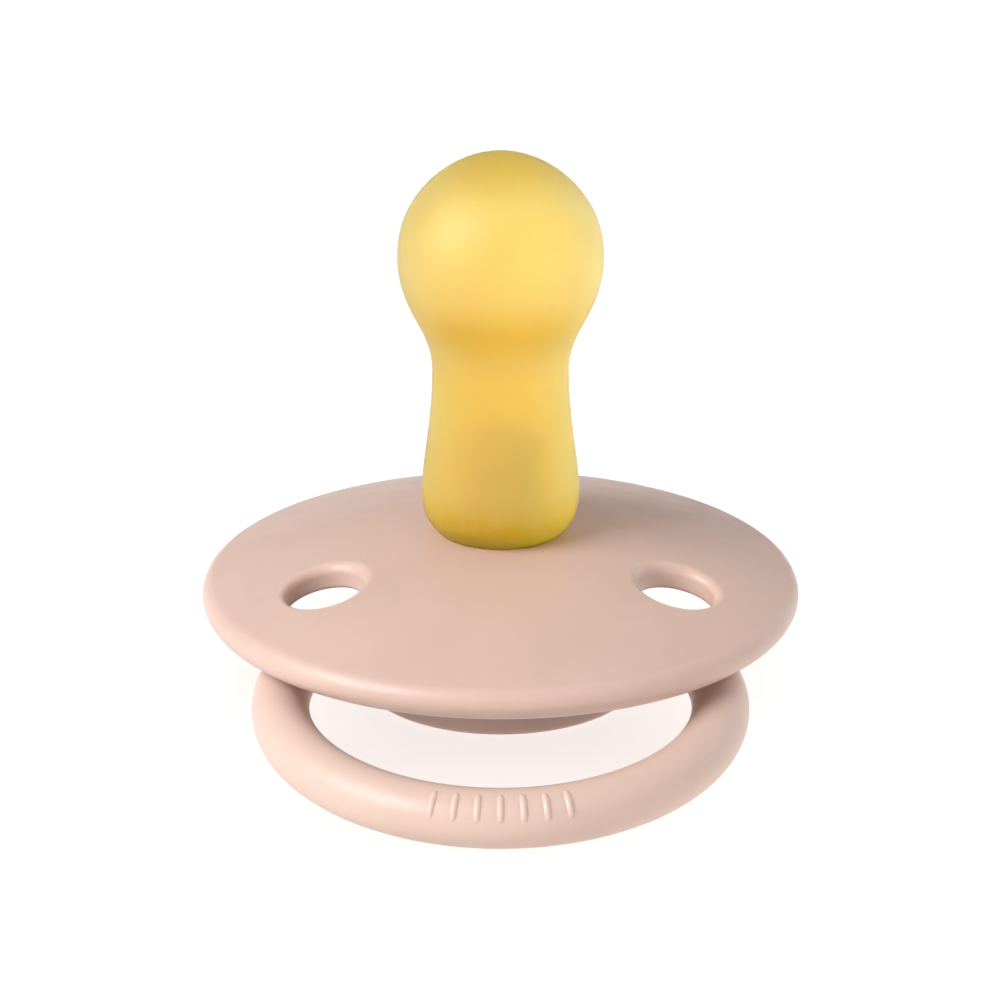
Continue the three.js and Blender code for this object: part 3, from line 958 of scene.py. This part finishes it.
class PACIFIER_OT_ring(bpy.types.Operator):
    """Makes the ring handle: the swept ring, its bends and snap pins, and the low grip ribs on its front."""

    bl_idname = "pacifier.ring"
    bl_label = "Ring handle"

    # How far up the ring's front a rib lies, how far it reaches both ways, and how deep it is sunk.
    rib_lean = 52 * DEGREE
    rib_half_turn = 34 * DEGREE
    rib_root = 0.25 * MM

    def path(self, sizes, dome):
        """The bar's line from one pin's tip round the ring to the other, and its girth along it."""
        head_end = sizes.pin_tip + sizes.head_length
        step = TOUCH
        small = 0.15 * MM
        pin = eased([
            (sizes.pin_tip, 0.2 * MM),
            (sizes.pin_tip + step, sizes.head, 2 * small),
            (head_end, sizes.head, small),
            (head_end + step, sizes.pin, small),
            (dome.shoulder, sizes.pin, small),
            (dome.shoulder + step, sizes.wire, 3 * small),
            (dome.shoulder + 1.2 * MM, sizes.wire),
        ], steps=6)
        bend_x = sqrt((sizes.radius - sizes.bend) ** 2 - (sizes.reach - sizes.bend) ** 2)
        join = atan2(sizes.reach - sizes.bend, bend_x)
        pin = [point for point in pin if point[0] < bend_x]
        half = [
            *[(x, 0.0) for x, girth in pin],
            *arc(bend_x, -sizes.bend, sizes.bend, 90 * DEGREE, join, 12),
            *arc(0.0, -sizes.reach, sizes.radius, join, -90 * DEGREE, 84)[1:],
        ]
        girths = [girth for x, girth in pin] + [sizes.wire] * (len(half) - len(pin))
        line = [(x, y, 0.0) for x, y in half]
        line += [(-x, y, 0.0) for x, y in reversed(half[:-1])]
        return line, girths + girths[-2::-1]

    def rib(self, sizes):
        """One low rib that hugs the ring's section, with rounded ends, at the section's middle."""
        across = 10
        around = 28
        rows = []
        for j in range(around + 1):
            turn = 2 * j / around - 1
            swell = sqrt(max(0.0, 1 - abs(turn) ** 4))
            angle = self.rib_lean + turn * self.rib_half_turn
            row = []
            for i in range(across + 1):
                side = cos(pi * i / across)
                rise = sin(pi * i / across)
                girth = sizes.wire - self.rib_root + (self.rib_root + sizes.rib_height) * rise * swell
                row.append((side * swell * sizes.rib_width / 2, -girth * cos(angle), girth * sin(angle)))
            rows.append(row)
        work = bmesh.new()
        grid = [[work.verts.new(place) for place in row] for row in rows]
        for j in range(around):
            for i in range(across):
                work.faces.new((grid[j][i], grid[j][i + 1], grid[j + 1][i + 1], grid[j + 1][i]))
            work.faces.new((grid[j][across], grid[j][0], grid[j + 1][0], grid[j + 1][across]))
        bmesh.ops.remove_doubles(work, verts=work.verts, dist=1e-6)
        bmesh.ops.recalc_face_normals(work, faces=work.faces)
        mesh = bpy.data.meshes.new("rib")
        work.to_mesh(mesh)
        work.free()
        return mesh

    def execute(self, context):
        settings = context.scene.pacifier
        sizes, dome = settings.ring, Dome(settings)
        plastic = moulded_plastic("ring_plastic", settings.colours.ring, 0.42)
        line, girths = self.path(sizes, dome)
        bar = outline_mesh("ring_bar", line, girths)
        mesh = grown(bar, tree_named("Swept bar", bar_tree), {"Steps": 64, "Material": plastic})
        if sizes.ribs:
            ribs = grown(self.rib(sizes), tree_named("Grip ribs", rib_tree), {
                "Count": sizes.ribs, "Pitch Angle": sizes.rib_pitch / sizes.radius,
                "Ring Radius": sizes.radius, "Material": plastic,
            })
            ribs.transform(Matrix.Translation((0.0, -sizes.reach, 0.0)))
            mesh = combined(mesh, [ribs], "UNION")
        mesh.transform(Matrix.Translation(HINGE) @ Matrix.Rotation(sizes.tilt, 4, "X"))
        add_piece("swing_ring", mesh, plastic, "ring_handle")
        return {"FINISHED"}


# ---------------------------------------------------------------- the stage

FLOOR_REACH = 3.0
WORLD_STRENGTH = 0.52

# Each soft box: the way to it from the pacifier, then its distance, its width and its power.
SOFT_BOXES = {
    "key": ((-0.72, -0.42, 0.56), 0.55, 0.36, 4.1),
    "edge": ((0.85, -0.35, 0.18), 0.60, 0.25, 1.1),
    "back": ((0.85, 0.55, 0.30), 0.60, 0.40, 0.5),
    "glow": ((0.90, -0.35, -0.02), 0.45, 0.25, 5.0),
    "floor_wash": ((0.0, 0.0, 1.0), 1.6, 2.0, 30.0),
}

CAMERA_ELEVATION = 22.35 * DEGREE
CAMERA_DISTANCE = 0.25     # from the middle of the shield's rim
CAMERA_LENS = 124.31
CAMERA_SENSOR = 36.0
CAMERA_AIM = Vector((-0.00004, 0.00236, 0.01305))


class PACIFIER_OT_stage(bpy.types.Operator):
    """Makes the pale floor, the soft studio lights and the camera."""

    bl_idname = "pacifier.stage"
    bl_label = "Stage"

    def floor(self, colour):
        """A wide pale floor at the height of the button's back."""
        mesh = bpy.data.meshes.new("stage_floor")
        corners = [(-1, -1), (1, -1), (1, 1), (-1, 1)]
        points = [(FLOOR_REACH * x, FLOOR_REACH * y, 0.0) for x, y in corners]
        mesh.from_pydata(points, [], [(0, 1, 2, 3)])
        mesh.materials.append(pale_paper(colour))
        floor = bpy.data.objects.new("stage_floor", mesh)
        bpy.context.scene.collection.objects.link(floor)
        floor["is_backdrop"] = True
        return floor

    def soft_light(self, name, lit, blockers=()):
        """A square soft box that looks at the pacifier's middle and lights only the objects in lit.

        With blockers, only those objects throw a shadow in its light.
        """
        direction, distance, size, power = SOFT_BOXES[name]
        middle = (CAD_BOX[0] + CAD_BOX[1]) / 2
        light = bpy.data.lights.new(name, "AREA")
        light.shape = "SQUARE"
        light.size = size
        light.energy = power
        box = bpy.data.objects.new(name, light)
        away = Vector(direction).normalized()
        box.location = middle + away * distance
        box.rotation_euler = away.to_track_quat("Z", "Y").to_euler()
        bpy.context.scene.collection.objects.link(box)
        for role, members in (("receiver", lit), ("blocker", blockers)):
            if members:
                group = bpy.data.collections.new(f"{name}_{role}")
                for member in members:
                    group.objects.link(member)
                setattr(box.light_linking, f"{role}_collection", group)
        return box

    def camera(self, shield):
        """The camera, a little above the shield and straight in front of it."""
        view = Vector((0.0, -cos(CAMERA_ELEVATION), sin(CAMERA_ELEVATION)))
        data = bpy.data.cameras.new("camera")
        data.lens = CAMERA_LENS
        data.sensor_width = CAMERA_SENSOR
        camera = bpy.data.objects.new("camera", data)
        camera.location = Vector((0.0, 0.0, shield.bead_height)) + view * CAMERA_DISTANCE
        camera.rotation_euler = (camera.location - CAMERA_AIM).to_track_quat("Z", "Y").to_euler()
        bpy.context.scene.collection.objects.link(camera)
        bpy.context.scene.camera = camera

    def execute(self, context):
        settings = context.scene.pacifier
        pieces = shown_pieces()
        floor = self.floor(settings.colours.paper)
        self.soft_light("key", pieces)
        edge = self.soft_light("edge", pieces)
        self.soft_light("back", pieces)
        glow = self.soft_light("glow", [bpy.data.objects["latex_nipple"]])
        for fill in (edge, glow):
            fill.visible_glossy = False
            fill.visible_transmission = False
        self.soft_light("floor_wash", [floor], blockers=[floor])
        self.camera(settings.shield)
        world = bpy.data.worlds.new("studio")
        world.use_nodes = True
        background = world.node_tree.nodes["Background"]
        tune(background, {"Color": (1.0, 1.0, 1.0, 1.0), "Strength": WORLD_STRENGTH})
        context.scene.world = world
        context.scene.view_settings.view_transform = "Standard"
        return {"FINISHED"}


# ---------------------------------------------------------------- the panel, and running it all

class PACIFIER_PT_panel(bpy.types.Panel):
    """Lists the pacifier's pieces and their sizes."""

    bl_idname = "PACIFIER_PT_panel"
    bl_label = "Pacifier"
    bl_space_type = "VIEW_3D"
    bl_region_type = "UI"
    bl_category = "Pacifier"

    def draw(self, context):
        settings = context.scene.pacifier
        groups = {"nipple": "nipple", "shield": "shield", "plug": "plug", "button": "button",
                  "ring": "ring", "stage": "colours"}
        for operator, group in groups.items():
            box = self.layout.box()
            box.operator(f"pacifier.{operator}")
            sizes = getattr(settings, group)
            for name in sizes.__annotations__:
                box.prop(sizes, name)


CLASSES = (
    ShieldSizes, NippleSizes, ButtonSizes, RingSizes, PlugSizes, Colours, PacifierSettings,
    PACIFIER_OT_nipple, PACIFIER_OT_shield, PACIFIER_OT_plug, PACIFIER_OT_button, PACIFIER_OT_ring,
    PACIFIER_OT_stage, PACIFIER_PT_panel,
)


def register():
    """Registers every class, and the settings on the scene."""
    for cls in CLASSES:
        bpy.utils.register_class(cls)
    bpy.types.Scene.pacifier = PointerProperty(type=PacifierSettings)


def unregister():
    """Takes the settings and the classes away again."""
    del bpy.types.Scene.pacifier
    for cls in reversed(CLASSES):
        bpy.utils.unregister_class(cls)


def main():
    """Makes the pacifier and its stage."""
    register()
    bpy.ops.pacifier.nipple()
    bpy.ops.pacifier.shield()
    bpy.ops.pacifier.plug()
    bpy.ops.pacifier.button()
    bpy.ops.pacifier.ring()
    bpy.ops.pacifier.stage()


if __name__ == "__main__":
    main()
